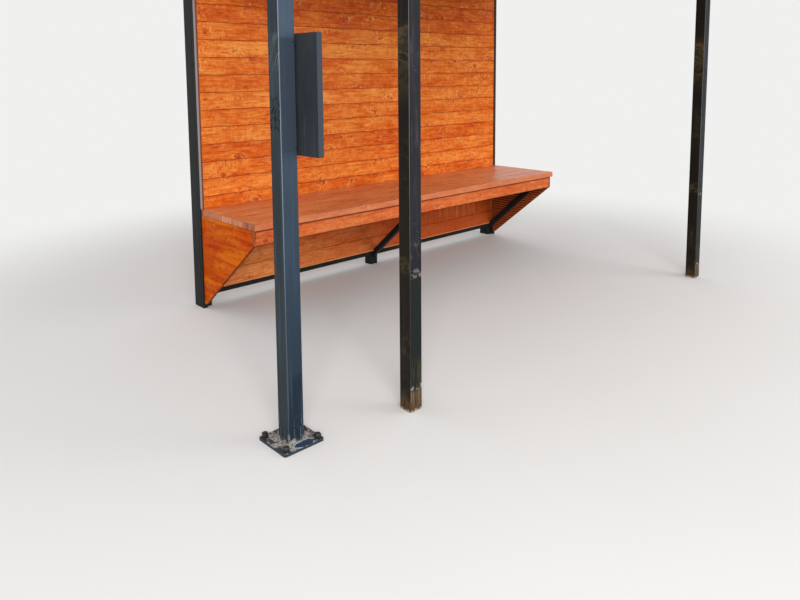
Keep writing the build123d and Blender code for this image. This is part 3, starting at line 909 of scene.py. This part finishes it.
PLANK_SCREW = 0.03  # from a plank's long edges
FASCIA_LOW, FASCIA_HIGH = 0.045, 0.016  # from the fascia's lower and upper edge
bm = bmesh.new()
arms = [(low.x + high.x) / 2 for low, high in (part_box(f"bench_arm_{place}") for place in PLACES)]
for i in range(len(SEAT_ENDS)):
    low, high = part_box(f"seat_plank_{i + 1}")
    for x in arms:
        for y in (low.y + PLANK_SCREW, high.y - PLANK_SCREW):
            screw_head(bm, (nudged(x), nudged(y), high.z), (0, 0, 1))
low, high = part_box("bench_fascia")
for x in arms:
    for z in (low.z + FASCIA_LOW, high.z - FASCIA_HIGH):
        screw_head(bm, (x, low.y, z), (0, -1, 0))
piece("bench_screws", bm, screw_paint, smooth=30)


def hexagon_bolt(bm, centre, direction, across, head, washer, thread=0.0):
    """Washer, hexagon with eased corners and, for a nut, the end of its threaded rod."""
    turn = random.uniform(0, 1)
    w = Vector(direction).normalized()
    c = Vector(centre)
    radius, thick = washer
    lathe(bm, c, w, [(radius * 0.97, -0.0005), (radius, thick * 0.2), (radius, thick * 0.8),
                     (radius * 0.97, thick)], 24)
    corner = across / 2 / math.cos(math.pi / 6)
    lathe(bm, c + w * thick, w, [(corner * 0.93, 0), (corner, head * 0.12), (corner, head * 0.85),
                                 (corner * 0.88, head)], 6, turn)
    if thread:
        rod, pitch = across * 0.31, 0.002
        h = head + thick
        profile = [(rod, h - 0.001)]
        while h < head + thick + thread - pitch:
            profile += [(rod, h + pitch * 0.25), (rod * 0.9, h + pitch * 0.75)]
            h += pitch
        profile += [(rod, h), (rod * 0.8, h + 0.0015)]
        lathe(bm, c, w, profile, 16)


ANCHOR = 0.08  # half the spacing of the anchor bolts
bm = bmesh.new()
for sx in (-1, 1):
    for sy in (-1, 1):
        place = (plate_centre.x + sx * ANCHOR, plate_centre.y + sy * ANCHOR, plate_high.z)
        hexagon_bolt(bm, place, (0, 0, 1), across=0.0255, head=0.018, washer=(0.0148, 0.0025), thread=0.004)
piece("anchor_nuts", bm, plain_metal("anchor_metal", rgb(52, 50, 50), 0.42, metallic=0.55, seed=3.0),
      smooth=35)

# case bolts on the front of the stop post, one for each bracket
stop_low, stop_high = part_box("stop_post")
CASE_BOLT = stop_high.x - 0.012
bm = bmesh.new()
for name in ("upper", "lower"):
    low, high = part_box(f"case_bracket_{name}")
    lathe(bm, (CASE_BOLT, stop_low.y, (low.z + high.z) / 2), (0, -1, 0),
          [(0.006, -0.0005), (0.006, 0.0014), (0.005, 0.003), (0.003, 0.004)], 20)
piece("case_bolts", bm, plain_metal("bolt_dark", rgb(40, 44, 46), 0.4, metallic=0.3), smooth=40)


# Roof screws with washers on the crowns of the ribs

FALL = math.radians(3.0)
SHEET_TOP = 0.111  # crown above the underside of the roof frame
ROOF_EDGE = Vector((0, POST_BACK, 2.25))
RIBS, CROWN, TUBE = 15, 0.042, 0.075


def roof_point(x, along, height):
    """Point at a distance up the fall from the back posts' back faces and a height square to the roof."""
    return Vector((x, ROOF_EDGE.y - along * math.cos(FALL) + height * math.sin(FALL),
                   ROOF_EDGE.z + along * math.sin(FALL) + height * math.cos(FALL)))


roof_normal = (0, math.sin(FALL), math.cos(FALL))
clear = (POST_BACK - FRONT) / math.cos(FALL) - 2 * TUBE
pitch = (RIGHT - LEFT - CROWN) / (RIBS - 1)
bm = bmesh.new()
for rib in range(1, RIBS - 1, 2):
    x = LEFT + CROWN / 2 + rib * pitch
    for along in (TUBE / 2, TUBE + clear / 3, TUBE + 2 * clear / 3):
        hexagon_bolt(bm, roof_point(x, along, SHEET_TOP), roof_normal, across=0.008, head=0.005,
                     washer=(0.0075, 0.0022))
piece("roof_screws", bm, plain_metal("roof_screw", rgb(84, 86, 90), 0.4, metallic=0.5),
      smooth=35)


# Weld beads: lumpy runs of metal in the corners where tubes meet

def bead(bm, start, end, radius):
    start, end = Vector(start), Vector(end)
    axes = axes_along(end - start)
    steps = max(3, int((end - start).length / 0.003))
    rings = []
    for i in range(steps + 1):
        r = radius * (0.82 + 0.18 * math.cos(i * 2.1)) * random.uniform(0.9, 1.08)
        if i in (0, steps):
            r *= 0.5
        c = start.lerp(end, i / steps) + Vector([random.uniform(-1, 1) * radius * 0.1 for _ in range(3)])
        rings.append(ring(bm, c, axes, r, 8))
    close(bm, rings)


def shared(x):
    """Whether a tube's face lies inside the shelter, where others meet it."""
    return LEFT + 0.01 < x < RIGHT - 0.01


def post_top(y):
    return ROOF_EDGE.z + (ROOF_EDGE.y - y) * math.tan(FALL)


BEAD, STOP_BEAD = 0.0032, 0.0045  # radii
INSET, SHORT = 0.006, 0.004  # from a post's corners, and from the ends of a rail or brace
BRACE_FOOT, BRACE_TOP = 0.049, 0.056  # reach of the beads on a brace, up the post and along the arm
bm = bmesh.new()
# stop post on its plate
for y in (stop_low.y, stop_high.y):
    bead(bm, (stop_low.x + INSET, y, plate_high.z), (stop_high.x - INSET, y, plate_high.z), STOP_BEAD)
for x in (stop_low.x, stop_high.x):
    bead(bm, (x, stop_low.y + INSET, plate_high.z), (x, stop_high.y - INSET, plate_high.z), STOP_BEAD)
piece("stop_weld", bm, stop_blue, smooth=60)

bm = bmesh.new()
# rails against the back posts
rail_low, rail_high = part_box("wall_rail_left")
for place in PLACES:
    for x in (corner.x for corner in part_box(f"post_back_{place}")):
        if shared(x):
            for y in (rail_low.y + 0.001, rail_high.y - 0.001):
                bead(bm, (x, y, rail_low.z + SHORT), (x, y, rail_high.z - SHORT), BEAD)
# braces against the posts below the boards, and against the arms
for place in PLACES:
    low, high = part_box(f"bench_brace_{place}")
    for x in (low.x, high.x):
        bead(bm, (x, POST_FACE, low.z + SHORT), (x, POST_FACE, low.z + BRACE_FOOT), BEAD)
        bead(bm, (x, low.y + SHORT, high.z), (x, low.y + BRACE_TOP, high.z), BEAD)
# posts under the roof beams
for name in ("front_left", "front_right", "back_left", "back_middle", "back_right"):
    low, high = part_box(f"post_{name}")
    for x in (low.x, high.x):
        if shared(x):
            start, end = ((x, y, post_top(y)) for y in (low.y + INSET, high.y - INSET))
            bead(bm, start, end, BEAD)
    y = high.y if "front" in name else low.y
    bead(bm, (low.x + INSET, y, post_top(y)), (high.x - INSET, y, post_top(y)), BEAD)
piece("frame_welds", bm, frame_back, smooth=60)


# Camera, floor and light

def camera():
    """Camera at the photograph's place, which is measured from the outer corner of the left front post."""
    focal_pixels, photo_width = 689.2, 800
    yaw, pitch, roll = (math.radians(angle) for angle in (43.203, 6.396, -0.399))
    place = Vector((LEFT - 2.0944, FRONT - 2.1695, 1.5575))
    forward = Vector((math.sin(yaw) * math.cos(pitch), math.cos(yaw) * math.cos(pitch), -math.sin(pitch)))
    right = Vector((math.cos(yaw), -math.sin(yaw), 0))
    up = right.cross(forward)
    right, up = math.cos(roll) * right + math.sin(roll) * up, math.cos(roll) * up - math.sin(roll) * right
    data = bpy.data.cameras.new("camera")
    data.sensor_fit, data.sensor_width = "HORIZONTAL", 36.0
    data.lens = focal_pixels / photo_width * data.sensor_width
    data.shift_y = -0.1875
    data.clip_start, data.clip_end = 0.05, 100.0
    o = link("camera", data)
    m = Matrix((right, up, -forward)).transposed().to_4x4()
    m.translation = place
    o.matrix_world = m
    bpy.context.scene.camera = o


BACKGROUND, LIGHT = rgb(240, 240, 239), 0.77


def background_rays(tree):
    """1 for camera, mirror and glass rays, which see the pale background itself."""
    path = tree.nodes.new("ShaderNodeLightPath")
    seen = path.outputs["Is Camera Ray"]
    for name in ("Is Glossy Ray", "Is Transmission Ray"):
        either = tree.nodes.new("ShaderNodeMath")
        either.operation = "MAXIMUM"
        tree.links.new(seen, either.inputs[0])
        tree.links.new(path.outputs[name], either.inputs[1])
        seen = either.outputs[0]
    return seen


def floor():
    bm = bmesh.new()
    box_mesh(bm, (-30, -30, -0.02), (30, 30, -0.0002))
    o = mesh_object("floor", bm)
    p = Paint("floor", roughness=0.9, Specular_IOR_Level=0.05)
    v = p.object_space()
    seen = background_rays(p.tree)
    pale = p.mix(p.noise(v, (0.8, 0.8, 0.8)), rgb(222, 221, 218), rgb(227, 226, 224))
    p.colour(p.mix(seen, rgb(128, 124, 118), pale))
    # far from the shelter the floor runs out into the pale background
    glow, blend = p.new("Emission"), p.new("MixShader")
    glow.inputs["Color"].default_value = BACKGROUND
    p.put(blend.inputs[0], p.times(p.step(p.from_axis(v), 2.4, 4.8), seen))
    p.put(blend.inputs[1], p.bsdf.outputs[0])
    p.put(blend.inputs[2], glow.outputs[0])
    p.put(p.tree.nodes["Material Output"].inputs["Surface"], blend.outputs[0])
    o.data.materials.append(p.mat)


def light(name, place, target, size, power):
    data = bpy.data.lights.new(name, "AREA")
    data.shape, data.size, data.energy = "SQUARE", size, power
    o = link(name, data)
    o.location = place
    o.rotation_mode = "QUATERNION"
    o.rotation_quaternion = (Vector(target) - Vector(place)).to_track_quat("-Z", "Y")


def world():
    """Even pale light in front of the pale background."""
    w = bpy.data.worlds.new("world")
    bpy.context.scene.world = w
    w.use_nodes = True
    tree = w.node_tree
    back = tree.nodes["Background"]
    colour = tree.nodes.new("ShaderNodeMix")
    colour.data_type = "RGBA"
    tree.links.new(background_rays(tree), colour.inputs[0])
    colour.inputs[6].default_value = (LIGHT, LIGHT, LIGHT * 1.02, 1.0)
    colour.inputs[7].default_value = BACKGROUND
    tree.links.new(colour.outputs[2], back.inputs["Color"])
    back.inputs["Strength"].default_value = 1.0


camera()
floor()
world()
light("key", (-5.4, -6.8, 3.5), (0, 0.4, 1.0), 4.0, 480)
light("fill", (3.8, -5.8, 1.9), (0.4, 1.0, 1.6), 3.6, 165)
bpy.context.scene.view_settings.view_transform = "Standard"
